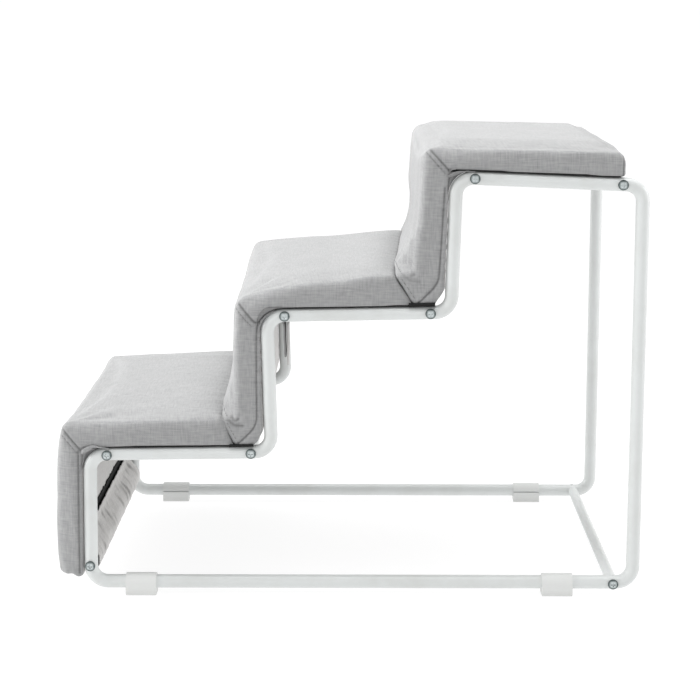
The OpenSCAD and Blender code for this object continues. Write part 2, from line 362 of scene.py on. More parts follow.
TOE_LIFT = 5 * MM  # and how far up
NOSE_SAG = 18 * MM  # how far the second tread's right front corner sags
SAG_BACK = 100 * MM  # how far back along the tread the sag reaches
SAG_DOWN = 90 * MM  # and how far down the riser
# Each mitre seam's lower end, from the pads' inner corner: along the tread and up
MITRE_END = ((-1.6 * MM, -2.5 * MM), (-5 * MM, -7 * MM), (0, -1 * MM))
HEM_TOP = (4 * MM, 19 * MM, 20 * MM)  # the riser hems stop this far below that corner
FOLD_EDGE = (20 * MM, 5 * MM, 20 * MM)  # width of the folded cloth beside each bend
FOLD_SHADE = (0, 0.5, 0.55)  # the least painted shade it has, deep in the bend's corner


def seam_toe(k):
    """The top of the seam between tread k and the riser behind it, rolled forward."""
    along = unit(VIEW.seam_top[k] - VIEW.outer[k])
    return VIEW.seam_top[k] - along * TOE[k] + left_of(along) * TOE_RISE


def flare(k):
    """Points of riser k's front from its toe up to where it is flat."""
    toe = seam_toe(k - 1)
    up = unit(VIEW.outer[k] - VIEW.seam_top[k - 1])
    knee = VIEW.seam_top[k - 1] + up * TOE_KNEE + left_of(up) * 3 * MM
    top = VIEW.seam_top[k - 1] + up * TOE_UP
    return bend(toe, knee, top, (0.25, 0.5, 0.75))


def step_outline(k):
    """Step k's cushion from the side: points, their rounding, and which edges are outer ones."""
    points = []
    if k == 0:
        points += [(VIEW.foot_out, 4.5 * MM, True)]
    else:
        points += [(VIEW.seam_low[k - 1], 1 * MM, True), (seam_toe(k - 1), 3 * MM, True)]
        points += [(p, 0, True) for p in flare(k)]
    points += [(VIEW.outer[k], CORNER_R, True)]
    if k < 2:
        points += [(seam_toe(k), 3 * MM, True), (VIEW.seam_low[k], 1 * MM, False)]
    else:
        points += [(VIEW.end_out, 9 * MM, True), (VIEW.end_in, 3 * MM, False)]
    points += [(VIEW.inner[k], 0, False)]
    if k == 0:
        points += [(VIEW.foot_in, 5 * MM, True)]
    else:
        points += [(VIEW.back[k], 6 * MM, False), (VIEW.heel[k], 3 * MM, False)]
    return points


def offset_outline(points, outer_d, inner_d):
    """The outline with its outer edges moved in by one distance and its inner ones by another."""
    n = len(points)
    moved = []
    for i in range(n):
        a, b, c = (points[j % n][0] for j in (i - 1, i, i + 1))
        u, v = unit(b - a), unit(c - b)
        d_u = outer_d if points[i - 1][2] else inner_d
        d_v = outer_d if points[i][2] else inner_d
        p, q = b - left_of(u) * d_u, b - left_of(v) * d_v
        cross = u[0] * v[1] - u[1] * v[0]
        if abs(cross) < 0.02:
            moved.append((p + q) / 2)
        else:
            w = q - p
            moved.append(p + u * (w[0] * v[1] - w[1] * v[0]) / cross)
    return moved


def rounded(points, radii, steps=5):
    """A closed outline with its corners rounded, always with the same number of points."""
    n = len(points)
    out = []
    for i in range(n):
        a, b, c = points[i - 1], points[i], points[(i + 1) % n]
        if radii[i] <= 0:
            out.append(b)
            continue
        u, v = unit(a - b), unit(c - b)
        half = acos(np.clip(u @ v, -1, 1)) / 2
        cut = min(radii[i] / tan(half), norm(a - b) * 0.45,
                  norm(c - b) * 0.45)
        out += bend(b + u * cut, b + (u + v) * cut * 0.12, b + v * cut, np.linspace(0, 1, steps))
    return out


def loft_step(k):
    """The start form of a step's cushion: its outline run across, with rounded side edges."""
    points = step_outline(k)
    bm = bmesh.new()
    rings = []
    for side in SIDES:
        angles = np.linspace(0, pi / 2, 5)
        for a in (angles if side < 0 else angles[::-1]):
            d = EDGE_R * (1 - sin(a))
            y = side * (HALF_W - SIDE_IN - EDGE_R * (1 - cos(a)))
            shape = offset_outline(points, d, 0)
            radii = [max(r - d, 0.6 * MM) if r > 0 else 0 for _, r, _ in points]
            rings.append([bm.verts.new((p[0], y, p[1])) for p in rounded(shape, radii)])
    face_rings(bm, rings)
    return object_from(bm, f"step_cushion_{k + 1}")


def inner_line(k):
    """The line where step k's cushion lies on the frame, from the riser's foot to the tread's
    end."""
    start = [VIEW.foot_in] if k == 0 else [VIEW.heel[k], VIEW.back[k]]
    end = VIEW.seam_low[k] if k < 2 else VIEW.end_in
    return start + [VIEW.inner[k], end]


def tread_line(k):
    """The outer and inner corner of step k's cushion, and the direction of its tread."""
    inner = VIEW.inner[k]
    return VIEW.outer[k], inner, unit(inner_line(k)[-1] - inner)


def held_points(k, co):
    """Which points are held while the filling swells: those along the base and the seams."""
    held = near_line(co, inner_line(k), BASE_HOLD)
    if k > 0:
        held |= near_line(co, [VIEW.heel[k], VIEW.seam_low[k - 1], seam_toe(k - 1)], SEAM_HOLD)
    if k < 2:
        held |= near_line(co, [VIEW.seam_low[k], seam_toe(k)], SEAM_HOLD)
    at_side = np.abs(co[:, 1]) > HALF_W - SIDE_IN - 2.5 * MM
    return held | (at_side & near_line(co, side_seams(k)[0][0], SEAM_HOLD))


FRAMES = 20  # length of the simulation
FILLING = {"quality": 5, "mass": 0.3, "tension_stiffness": 12, "compression_stiffness": 12,
           "shear_stiffness": 6, "bending_stiffness": 0.4, "use_pressure": True,
           "uniform_pressure_force": 4, "vertex_group_mass": "held"}


def fill_cushions(cushions):
    """Lets the foam push the cloth out, by a cloth simulation of all cushions together."""
    starts = {}
    for k, piece in enumerate(cushions):
        co = places(piece.data)
        starts[k] = co
        group = piece.vertex_groups.new(name="held")
        group.add(np.flatnonzero(held_points(k, co)).tolist(), 1.0, "REPLACE")
        cloth = piece.modifiers.new("filling", "CLOTH")
        for name, value in FILLING.items():
            setattr(cloth.settings, name, value)
        cloth.settings.effector_weights.gravity = 0
        cloth.point_cache.frame_start = 1
        cloth.point_cache.frame_end = FRAMES
    for number in range(1, FRAMES + 1):
        SCENE.frame_set(number)
    graph = bpy.context.evaluated_depsgraph_get()
    for k, piece in enumerate(cushions):
        moved = places(piece.evaluated_get(graph).data)
        piece.modifiers.clear()
        piece.vertex_groups.clear()
        cap_swelling(piece, starts[k], moved)
    SCENE.frame_set(1)


def cap_swelling(piece, start, moved):
    """Moves the points as simulated, but no further than SWELL, less near the sides, and hardly
    inwards, because the foam holds the corners out."""
    by = moved - start
    out = normals(piece.data)
    by -= INWARD_STOPPED * out * np.minimum((by * out).sum(axis=1, keepdims=True), 0)
    size = norm(by, axis=1, keepdims=True) + 1e-9
    limit = SWELL * (0.3 + 0.7 * smooth(HALF_W - np.abs(start[:, [1]]), 0, 60 * MM))
    set_places(piece.data, start + by / size * limit * np.tanh(size / limit))


def shape_ends(k, piece):
    """Pulls the side edges in where the cloth turns round the toe and the outer corner, slopes
    the tread's edges, and shapes the front pad's foot and the top pad's rear end."""
    co = places(piece.data)
    flat = co[:, [0, 2]]
    outer, inner, along = tread_line(k)
    height = (flat - inner) @ left_of(along) / ((outer - inner) @ left_of(along))
    behind = (flat - outer) @ along
    depth = distance_to(flat, inner_line(k))[0]
    near_side = by_side(co, 32 * MM, 2 * MM)
    far_in = by_side(co, 60 * MM, 2 * MM)
    corner = smooth(height, 0.2, 1) * (1 - smooth(np.abs(behind - 12 * MM), 0, 70 * MM))
    roll = CORNER_ROLL[k] * corner * near_side
    if k > 0:
        foot = VIEW.seam_top[k - 1]
        up = unit(outer - foot)
        ahead = np.clip((flat - foot) @ left_of(up), 0, None)
        roll += TOE_SLOPE * ahead * smooth((flat - foot) @ up, 1 * MM, 10 * MM) * far_in
    else:
        drop = (flat - outer) @ unit(VIEW.foot_out - outer)
        end = norm(VIEW.foot_out - outer)
        low = smooth(drop, end - 30 * MM, end)
        belly = FRONT_BELLY * smooth(drop, 20 * MM, 80 * MM) * (1 - low)
        belly -= FRONT_TUCK * (1 - smooth(drop, 0, 45 * MM))
        co[:, 0] -= belly * smooth(depth, 6 * MM, 32 * MM)
        co[:, 2] -= (FRONT_LOW + 2.2 * MM * (1 - smooth(depth, 3 * MM, 26 * MM))) * low
        roll += 6 * MM * smooth(depth, 4 * MM, 36 * MM) * smooth(drop, 5 * MM, 30 * MM) * near_side
    if k == 2:
        left = (VIEW.end_out - flat) @ along
        blunt = END_BLUNT * (0.45 + 0.55 * smooth(height, 0.5, 1))
        co[:, 0] -= blunt * (1 - smooth(left, -4 * MM, 22 * MM))
        share = np.clip(behind / norm(VIEW.end_in - inner), 0, 1)
        co[:, 2] += (TOP_WEDGE[0] * (1 - share) + TOP_WEDGE[1] * share) * smooth(height, 0.2, 1)
    co[:, 2] -= EDGE_DROP[k] * far_in * smooth(height, 0.2, 1)
    co[:, 1] -= np.sign(co[:, 1]) * roll
    set_places(piece.data, co)


def skew_toe(co):
    """Sets the seam between the second tread and the third riser back towards the left."""
    flat = co[:, [0, 2]]
    along = unit(inner_line(1)[-1] - VIEW.inner[1])
    raised = smooth((flat - VIEW.seam_low[1]) @ left_of(along), 3 * MM, 30 * MM)
    share = raised * (1 - smooth(distance_from(flat, seam_toe(1)), 10 * MM, 90 * MM))
    share *= smooth(distance_to(flat, inner_line(2))[0], 6 * MM, 28 * MM)
    left = np.clip((co[:, 1] + HALF_W) / (2 * HALF_W), 0, 1)
    co[:, 0] += share * (TOE_SKEW[0] + (TOE_SKEW[1] - TOE_SKEW[0]) * left)
    co[:, 2] += share * TOE_LIFT


def drape(k, co):
    """Moves points of step k as the finished cushion lies: the third riser's toe is set askew,
    and the second tread's nose sags over the frame's bend, mostly on the right."""
    co = np.array(co, float)
    if k == 0:
        return co
    skew_toe(co)
    if k == 2:
        return co
    outer, inner, along = tread_line(k)
    flat = co[:, [0, 2]]
    behind = (flat - outer) @ along
    height = (flat - inner) @ left_of(along)
    depth = np.clip(height / ((outer - inner) @ left_of(along)), 0, 1)
    borne = smooth(behind, 20 * MM, 45 * MM)
    above = 1 - borne * (1 - depth)
    below = (1 - borne) * np.clip(1 + height / SAG_DOWN, 0, 1) ** 1.6
    share = np.clip(1 - behind / SAG_BACK, 0, 1) ** 1.6 * np.where(height > 0, above, below)
    share *= 0.15 + 0.85 * np.clip((HALF_W - co[:, 1]) / (2 * HALF_W), 0, 1) ** 1.5
    co[:, 2] -= NOSE_SAG * share
    co[:, 0] += 2.4 * MM * share
    return co


def side_seams(k):
    """The lines sewn on each side panel, as (points, kind)."""
    outer, inner, along = tread_line(k)
    end = inner + along * MITRE_END[k][0] + left_of(along) * MITRE_END[k][1]
    down = unit(end - outer)
    beside = -left_of(down) if left_of(down)[1] > 0 else left_of(down)
    lines = [([outer, end], "seam")]
    shift = beside * 5.5 * MM
    lines.append(([outer + shift + down * 5 * MM, end + shift - down * 1 * MM], "topstitch"))
    lines.append((hem_line(k), "hem"))
    if k > 0:
        low = VIEW.seam_low[k - 1]
        for crease in TOE_CREASES:
            line = [low + np.array(p) * MM for p in crease]
            lines.append((rounded_path(line, 6 * MM), "crease" if k == 1 else "soft crease"))
    if k == 2:
        shift = -along * END_SEAM_IN
        lines.append(([VIEW.end_out + shift, VIEW.end_in + shift], "seam"))
    return lines


def hem_line(k):
    """The hem's sewn line on the riser's side panel, beside the edge that lies on the tube."""
    line = inner_line(k)[:-1]
    line[-1] = line[-1] + unit(line[-2] - line[-1]) * HEM_TOP[k]
    up = []
    for i, p in enumerate(line):
        u = unit(line[max(i, 1)] - line[max(i, 1) - 1])
        v = unit(line[min(i, len(line) - 2) + 1] - line[min(i, len(line) - 2)])
        up.append(p + (left_of(u) + left_of(v)) * HEM / (1 + left_of(u) @ left_of(v)))
    if k > 0:
        up[0] = VIEW.seam_low[k - 1] + np.array([4 * MM, 3 * MM])
        up[1] = up[1] + np.array([-3 * MM, 6 * MM])
    if k == 1:
        inner = VIEW.inner[k]
        up += [inner + np.array([-2, -9]) * MM, inner + np.array([2, -2]) * MM]
    return rounded_path(up, 12 * MM)


def rounded_path(line, radius, steps=6):
    """An open line with its bends rounded."""
    out = [line[0]]
    for a, b, c in zip(line, line[1:], line[2:]):
        cut = min(radius, norm(a - b) * 0.45, norm(c - b) * 0.45)
        u, v = unit(a - b), unit(c - b)
        out += bend(b + u * cut, b, b + v * cut, np.linspace(0, 1, steps))
    return out + [line[-1]]


def refine(piece, near):
    """Splits the edges whose ends are both among the given points."""
    bm = bmesh.new()
    bm.from_mesh(piece.data)
    bm.verts.ensure_lookup_table()
    edges = [e for e in bm.edges if near[e.verts[0].index] and near[e.verts[1].index]]
    bmesh.ops.subdivide_edges(bm, edges=edges, cuts=1, use_grid_fill=True)
    bmesh.ops.triangulate(bm, faces=[f for f in bm.faces if len(f.verts) > 4])
    bm.to_mesh(piece.data)
    bm.free()
    piece.data.shade_smooth()


# How deep each kind of sewn line is pressed in, in mm, and how much painted shade its groove gets
SEAM_LOOKS = {"seam": (1.6, 0.75), "topstitch": (0.7, 0.25), "hem": (1.4, 0.65),
              "crease": (1.8, 0.5), "soft crease": (1.2, 0.2)}


def sew(k, piece):
    """Presses the seams into the cushion, puckers the cloth beside them, and paints shade into the
    seams' grooves.
    """
    co = places(piece.data)
    out = normals(piece.data)
    flat = co[:, [0, 2]]
    at_side = by_side(co, 9 * MM, 5 * MM)
    press = np.zeros(len(co))
    shade = np.zeros(len(co))
    for line, kind in side_seams(k):
        away, along = distance_to(flat, line)
        depth, dark = SEAM_LOOKS[kind]
        width = 2.4 * MM if "crease" in kind else 1.7 * MM
        press -= at_side * depth * MM * np.exp(-(away / width) ** 2)
        # painted shade along the groove of each sewn line and crease
        shade += at_side * dark * np.exp(-(away / (0.65 * width)) ** 2)
        ripple = waves(np.stack([along, away * 0.25], 1), 9 * MM, 11 * k + len(kind))
        press += at_side * 0.45 * MM * (ripple * np.exp(-away / (8 * MM)))
    across = co[:, [1]]
    for seam, gathered in ((k - 1, 1.0), (k, 0.6)):
        if seam not in (0, 1):
            continue
        away = distance_from(flat, seam_toe(seam))
        ripple = waves(np.hstack([across, away[:, None] * 0.3]), 15 * MM, 40 + k)
        press += 1.1 * MM * ripple * np.exp(-away / (13 * MM)) * gathered
        if seam < k:
            stitch = distance_from(flat, toe_stitch_point(seam))
            press -= 0.8 * MM * np.exp(-(stitch / (1.6 * MM)) ** 2)
            # painted shade in the topstitching's groove across the toe
            shade += 0.35 * np.exp(-(stitch / (1.0 * MM)) ** 2)
        # painted shade in the toe seam's crease
        shade += 0.6 * np.exp(-(away / (1.8 * MM)) ** 2)
    if k > 0:
        foot = VIEW.seam_top[k - 1]
        up = unit(VIEW.outer[k] - foot)
        ahead = (flat - foot) @ left_of(up)
        ridged = smooth(ahead, 0.5 * MM, 4 * MM) * smooth((flat - foot) @ up, 4 * MM, 14 * MM)
        ridged *= by_side(co, 45 * MM, 20 * MM)
        press += 0.9 * MM * ridged * np.sin(2 * pi * ahead / (6.5 * MM))
    away, along = distance_to(flat, inner_line(k)[:-1])
    loose = (1 - smooth(away, HEM, HEM + 2 * MM)) * at_side * (k > 0)
    press += loose * 0.9 * MM * waves(np.stack([along, away], 1), 13 * MM, 90 + k)
    free = smooth(distance_to(flat, inner_line(k))[0], 2 * MM, 12 * MM)
    press += free * 0.35 * MM * waves(co, 55 * MM, 70 + k)
    if k == 0:
        low = 1 - smooth(co[:, 2] - VIEW.foot_out[1], 0, 22 * MM)
        gathers = waves(np.stack([co[:, 1], co[:, 0] * 1.2, co[:, 2] * 0.25], 1), 13 * MM, 5)
        press += low * free * 1.0 * MM * gathers
        co[:, 2] -= low * 1.5 * MM * waves(co[:, :2] * [1.3, 1], 20 * MM, 8) * free
    co += out * press[:, None]
    set_places(piece.data, co)
    attribute = piece.data.attributes.new("shade", "FLOAT", "POINT")
    attribute.data.foreach_set("value", np.clip(shade, 0, 1).astype(np.float32))


# The middle of each corner's tuck, from the pad's inner corner: along the tread and up, in mm,
# and the tuck's half width there
TUCKS = (((-0.5, -6, 1), (1.5, -3.5, 3), (7.5, 0, 3), (13.5, 3, 1.8), (22.5, 1, 0.8), (32, 0, 0.3)),
         ((-1.5, -30, 0.3), (-0.5, -22, 1.0), (2.5, -14, 1.1), (8, -7.5, 1.0), (17, -2.5, 0.3)),
         ((-2.5, -7.5, 0.8), (3, -5, 2.2), (10, -2, 1.8), (18, -0.3, 0.6), (30, 0, 0.3)))


def shaded(bm, shade, p, y, dark):
    """A new vertex at side-view point p, with its painted shade."""
    vert = bm.verts.new((p[0], y, p[1]))
    vert[shade] = dark
    return vert


def tuck(bm, shade, inner, back, k, side):
    """The folded edge of the cover that lies over the pad's side at a frame bend, with painted
    shade along both its edges.
    """
    rows = []
    t = np.linspace(0, 1, 25)
    knots = np.array(TUCKS[k]) * MM
    a, b, w = (np.interp(t, np.linspace(0, 1, len(knots)), knots[:, i]) for i in range(3))
    for values in (a, b, w):
        values[1:-1] = (values[:-2] + 2 * values[1:-1] + values[2:]) / 4
    middle = inner + a[:, None] * back + b[:, None] * left_of(back)
    ahead = np.gradient(middle, axis=0)
    for p, u, half in zip(middle, ahead, w):
        row = []
        for angle in np.linspace(0, 2 * pi, 13)[:-1]:
            q = p + left_of(unit(u)) * half * cos(angle)
            y = HALF_W + 0.2 * MM + 0.7 * half * sin(angle)
            # painted shade along the tuck's two edges, where it meets the pad
            dark = max(0.9 * cos(angle) ** 6, FOLD_SHADE[k])
            row.append(shaded(bm, shade, q, side * y, dark))
        rows.append(row)
    return face_rings(bm, rows)


def add_corner_folds(k, piece):
    """The gathered cloth that fills the corner between the pads and the frame's bend, with painted
    shade in its hollows and deep inside.
    """
    _, inner, back = tread_line(k)
    down = unit(inner_line(k)[-3] - inner)
    pivot = inner + (back + down) * BEND_OUT
    bm = bmesh.new()
    bm.from_mesh(piece.data)
    shade = bm.verts.layers.float["shade"]
    for side in SIDES:
        rows = []
        for angle in np.linspace(radians(2), radians(88), 40):
            arm = -back * cos(angle) - down * sin(angle)
            start = pivot + arm * (BEND_OUT + 0.1 * MM)
            reach = BEND_OUT / max(cos(angle), sin(angle)) + 2 * MM - BEND_OUT
            edge = FOLD_EDGE[k] * (1 - 0.85 * angle / radians(90))
            row = []
            for t in np.linspace(0, 1, 22):
                gone = t * reach
                pleat = 1.3 * MM * sin(angle * 9 + 2.5 * t + k + side)
                ridge = exp(-((t - 0.5) / 0.2) ** 2)
                y = HALF_W - 5.4 * MM + pleat * t + 3.0 * MM * ridge
                flush = float(smooth(gone, edge - 0.6 * MM, edge + 0.6 * MM))
                y += (HALF_W - 0.5 * MM - y) * flush
                # painted shade: the fold's hollows dark and its middle ridge lighter, and a dark
                # line in the crease at its flush edge
                dark = (0.85 - 0.6 * ridge) * (1 - flush)
                dark += 0.9 * exp(-((gone - edge) / (0.8 * MM)) ** 2)
                p = pivot + arm * (BEND_OUT + 0.1 * MM + gone)
                row.append((p, y, min(max(dark, FOLD_SHADE[k]), 1)))
            # painted shade on the hidden inner rows, deep in the corner
            row += [(p, HALF_W - 14 * MM, 0.6), (start, HALF_W - 14 * MM, 0.6)]
            rows.append([shaded(bm, shade, p, side * y, dark) for p, y, dark in row])
        made = face_rings(bm, rows) + tuck(bm, shade, inner, back, k, side)
        bmesh.ops.recalc_face_normals(bm, faces=made)
    bm.to_mesh(piece.data)
    bm.free()
    piece.data.shade_smooth()


def toe_stitch_point(k):
    """Where the topstitching runs on the riser behind the seam of tread k, seen from the side."""
    first = flare(k + 1)[0]
    return seam_toe(k) + unit(first - seam_toe(k)) * 6 * MM


def weave_map(piece):
    """Gives each face corner its place in the cloth, in metres along the weft and the warp."""
    mesh = piece.data
    p = places(mesh)[read_numbers(mesh.loops, "vertex_index")]
    sizes = read_numbers(mesh.polygons, "loop_total")
    tilt = np.repeat(np.abs(read_vectors(mesh.polygons, "normal")[:, 1]), sizes)
    front = np.stack([p[:, 1], p[:, 0] + p[:, 2], np.zeros(len(p))], 1)
    side = np.stack([p[:, 0] + 0.37, p[:, 2] + 0.11, np.ones(len(p))], 1)
    chosen = np.where((tilt > 0.6)[:, None], side, front)
    attribute = mesh.attributes.new("weave", "FLOAT_VECTOR", "CORNER")
    attribute.data.foreach_set("vector", chosen.astype(np.float32).ravel())


def mark_base(k, piece):
    """Gives the tread's faces that lie on the frame and the riser's back their own cloths; the
    riser's back gets the lighter flap linen, partly as painted light.
    """
    mesh = piece.data
    centre = read_vectors(mesh.polygons, "center")
    inside = np.abs(centre[:, 1]) < HALF_W - 4 * MM
    base = near_line(centre, inner_line(k)[-2:], 1.5 * MM) & inside
    rear = near_line(centre, inner_line(k)[:-1], 1.5 * MM) & inside & ~base
    mesh.polygons.foreach_set("material_index", (base + 2 * rear).astype(np.int32))


def make_cushions():
    cushions = [loft_step(k) for k in STEPS]
    for piece in cushions:
        reshape(piece, "REMESH", mode="VOXEL", voxel_size=VOXEL, use_smooth_shade=True)
    fill_cushions(cushions)
    for k, piece in enumerate(cushions):
        shape_ends(k, piece)
        reshape(piece, "SUBSURF", levels=1, render_levels=1)
        co = places(piece.data)
        near = np.any([near_line(co, line, 5 * MM) for line, _ in side_seams(k)], axis=0)
        refine(piece, near & (np.abs(co[:, 1]) > HALF_W - 7 * MM))
        sew(k, piece)
        set_places(piece.data, drape(k, places(piece.data)))
        add_corner_folds(k, piece)
        weave_map(piece)
        wear(piece, LINEN, BASE_CLOTH, FLAP_CLOTH)
        mark_base(k, piece)
        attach(piece, "frame")
        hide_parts(f"riser_cover_{k + 1}", f"tread_cover_{k + 1}",
                    f"riser_foam_{k + 1}", f"tread_foam_{k + 1}")
    return cushions


# --- Flat cloth: flaps, tabs, hook tape and base cloths
CLOTH_T = 0.9 * MM
GRID = 2 * MM  # spacing of the points across a sheet
ABOVE = 1.0  # a height over the object: a tab is sewn on at its upper end


def middle_path(node):
    """The line in the middle of a CAD strip of cloth, seen from the side, from its sewn edge on."""
    ring = outline(node)
    half = len(ring) // 2
    lengths = [norm(ring[i] - ring[(i + 1) % len(ring)]) for i in range(len(ring))]
    start = min(range(half), key=lambda i: lengths[i] + lengths[i + half]) + 1
    ring = np.roll(ring, -start, axis=0)
    path = (ring[:half] + ring[half:][::-1]) / 2
    joints = {joint["child"]: joint for joint in frame["joints"]}
    x, _, z = joints[node]["pos_m"] if node in joints else (0, 0, ABOVE)
    sewn = np.array([x, z])
    if norm(path[0] - sewn) > norm(path[-1] - sewn):
        path = path[::-1]
    return list(path)


def cloth_sheet(name, path, width, lift, ragged, material, outside, thickness=CLOTH_T,
                middle=0.0, tongue=0.0, frayed=0.0, spread=0.0):
    """A thin closed sheet that follows a path. lift(s, y) says how far each point stands off
    to the outside, ragged how far its free edge wanders, tongue how rounded its end is,
    frayed how uneven both its long edges are, and spread how far its sewn part's ends stick out
    beyond its width."""
    marks = spaced(path, GRID)
    s = np.arange(len(marks)) * GRID
    ahead = np.gradient(marks, axis=0)
    ahead /= norm(ahead, axis=1, keepdims=True)
    aside = np.stack([-ahead[:, 1], ahead[:, 0]], 1) * outside
    ys = np.linspace(-width / 2, width / 2, int(width / GRID) + 1)
    across, along = np.meshgrid(ys, s)
    off = lift(along, across)
    wander = waves(np.stack([ys, ys * 0], 1), 26 * MM, 31) * ragged
    wander -= tongue * np.abs(ys / ys[-1]) ** 3
    slide = (along / s[-1]) ** 3 * wander[None, :]
    for share, seed in ((1 - along / s[-1], 61), (along / s[-1], 62)):
        slide += share ** 2 * waves(np.stack([ys, ys * 0], 1), 9 * MM, seed) * frayed
    # painted shade on the steep sides of the folds, left off near the long edges where they curl
    steep = np.abs(np.gradient(off, axis=1)) / GRID
    steep *= smooth(width / 2 - np.abs(ys), 5 * MM, 9 * MM)[None, :]
    dark = 0.9 * smooth(steep, 0.1, 0.75)
    wider = 1 + 2 * spread / width * (1 - smooth(s, 38 * MM, 48 * MM))
    bm = bmesh.new()
    weave = bm.verts.layers.float_vector.new("weave")
    shade = bm.verts.layers.float.new("shade")
    layers = []
    for face in (0.5, -0.5):
        out = off + face * thickness
        x, z = (marks[:, axis, None] + aside[:, axis, None] * out + ahead[:, axis, None] * slide
                for axis in (0, 1))
        grid = [[bm.verts.new((x[i, j], y * wider[i] + middle, z[i, j]))
                 for j, y in enumerate(ys)] for i in range(len(s))]
        for i, row in enumerate(grid):
            for j, vert in enumerate(row):
                vert[weave] = (ys[j] + 0.5 * face, s[i] + 1.3 * face, 2 + face)
                vert[shade] = dark[i, j]
        layers.append(grid)
    top, under = layers
    m, n = len(s) - 1, len(ys) - 1
    for i, j in np.ndindex(m, n):
        for grid in layers:
            bm.faces.new((grid[i][j], grid[i + 1][j], grid[i + 1][j + 1], grid[i][j + 1]))
    rim = [(0, j) for j in range(n)] + [(i, n) for i in range(m)]
    rim += [(m, j) for j in range(n, 0, -1)] + [(i, 0) for i in range(m, 0, -1)]
    for (a, b), (c, d) in zip(rim, rim[1:] + rim[:1]):
        bm.faces.new((top[a][b], top[c][d], under[c][d], under[a][b]))
    piece = object_from(bm, name)
    wear(piece, material)
    return piece, (width, float(s[-1]))


def folds(height, pitch, seed, sewn=12 * MM, slant=0.35):
    """Long soft folds that run down a flap, flat at its sewn edge and on its free edge."""
    def lift(s, y):
        end = s.max()
        rough = field(y + slant * s, s * 0.22, pitch, seed)
        rough += 0.4 * field(y + slant * s, s * 0.22, pitch * 0.45, seed + 1)
        calm = smooth(s, 0.4 * sewn, sewn) * (1 - 0.75 * smooth(s, end - 18 * MM, end))
        return height * calm * np.clip(0.5 + 0.45 * rough, 0, 1.3)
    return lift


def make_front_flap():
    path = rounded_path(middle_path("front_flap"), 7 * MM)
    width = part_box("front_flap")[1].y * 2
    creased = folds(4.2 * MM, 14 * MM, 3, 30 * MM)

    def lift(s, y):
        """Folds, with the flap's ends flat on the crossbar and curled in a little above it."""
        low = 1 - smooth(s, 48 * MM, 60 * MM)
        flat_end = smooth(np.abs(y), width / 2 - 11 * MM, width / 2 - 2 * MM) * low
        curl = smooth(np.abs(y), width / 2 - 5 * MM, width / 2) * smooth(s, 28 * MM, 34 * MM)
        return creased(s, y) * (1 - flat_end) - 3 * MM * curl * low

    piece, flat = cloth_sheet("front_flap_cloth", path, width, lift, 1.0 * MM, FLAP_CLOTH, -1,
                              spread=4.5 * MM)
    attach(piece, "front_flap")
    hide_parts("front_flap")


def make_hook_tape():
    ring = sorted(outline("hook_tape"), key=lambda p: p[0])
    depth = norm(sum(ring[2:]) / 2 - sum(ring[:2]) / 2)
    ends = [(ring[0] + ring[2]) / 2, (ring[1] + ring[3]) / 2]
    low, high = sorted(ends, key=lambda p: p[1])
    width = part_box("hook_tape")[1].y * 2

    def hooks(s, y):
        rng = np.random.default_rng(17)
        lumps = field(y, s, 12 * MM, 63)
        return rng.uniform(0, 0.35 * MM, s.shape) + 0.5 * MM * np.clip(lumps, 0, 2)

    piece, flat = cloth_sheet("hook_tape_strip", [high, low], width, hooks, 0.6 * MM, HOOKS, -1,
                              depth * 0.8, frayed=1.8 * MM)
    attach(piece, "frame")
    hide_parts("hook_tape")


def make_straps():
    """The two straps on the second step's front crossbar, each closed on its tab."""
    for side in ("right", "left"):
        for node, body, outside, material, slot in (
                (f"strap_{side}", f"strap_{side}", 1, FLAP_CLOTH, "cover_fabric"),
                (f"strap_tab_{side}", "frame", -1, LINING, "lining")):
            path = rounded_path(middle_path(node), 6 * MM)
            low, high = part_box(node)
            piece, flat = cloth_sheet(f"{node}_cloth", path, high.y - low.y,
                                      folds(1.1 * MM, 19 * MM, 5), 0.8 * MM, material, outside,
                                      1.6 * MM, (low.y + high.y) / 2, tongue=7 * MM)
            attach(piece, body)
            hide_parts(node)


def waver(s, y):
    """The slight unevenness of a cloth that lies flat."""
    return 0.25 * MM * field(s, y, 40 * MM, 90)


def make_base_cloths():
    """The black cloth under each tread, and its bare end that shows under the next riser."""
    for k in STEPS:
        start, end = VIEW.inner[k], inner_line(k)[-1]
        along = unit(end - start)
        up = left_of(along)
        parts = [(f"base_cloth_{k + 1}", start + along * 7 * MM, end - along * BASE_END[k],
                  2 * HALF_W - 4 * MM, BASE_T)]
        if k < 2:
            heel = VIEW.heel[k + 1]
            parts.append((f"heel_cloth_{k + 1}", end - along * 6 * MM, heel + along * 1 * MM,
                          2 * HALF_W + 1 * MM, HEEL_T[k]))

        for name, a, b, width, thickness in parts:
            lift = up * (thickness / 2 + 0.1 * MM)
            piece, flat = cloth_sheet(name, [a + lift, b + lift], width, waver, 0.5 * MM,
                                      BASE_CLOTH, 1, thickness)
            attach(piece, "frame")


# --- Stitches
STITCH_L = 3.4 * MM
STITCH_GAP = 1.3 * MM
THREAD_R = 0.35 * MM


def add_stitch(bm, a, b, out):
    """One stitch: a short round thread whose ends dip into the cloth."""
    along = (b - a).normalized()
    side = along.cross(out).normalized()
    up = side.cross(along)
    rings = []
    arms = [side * cos(i * pi / 3) + up * sin(i * pi / 3) for i in range(6)]
    for t, lift, r in ((0, -0.5, 0.45), (0.2, 0.35, 1), (0.8, 0.35, 1), (1, -0.5, 0.45)):
        middle = a.lerp(b, t) + out * lift * THREAD_R
        rings.append([bm.verts.new(middle + arm * THREAD_R * r) for arm in arms])
    face_rings(bm, rings)


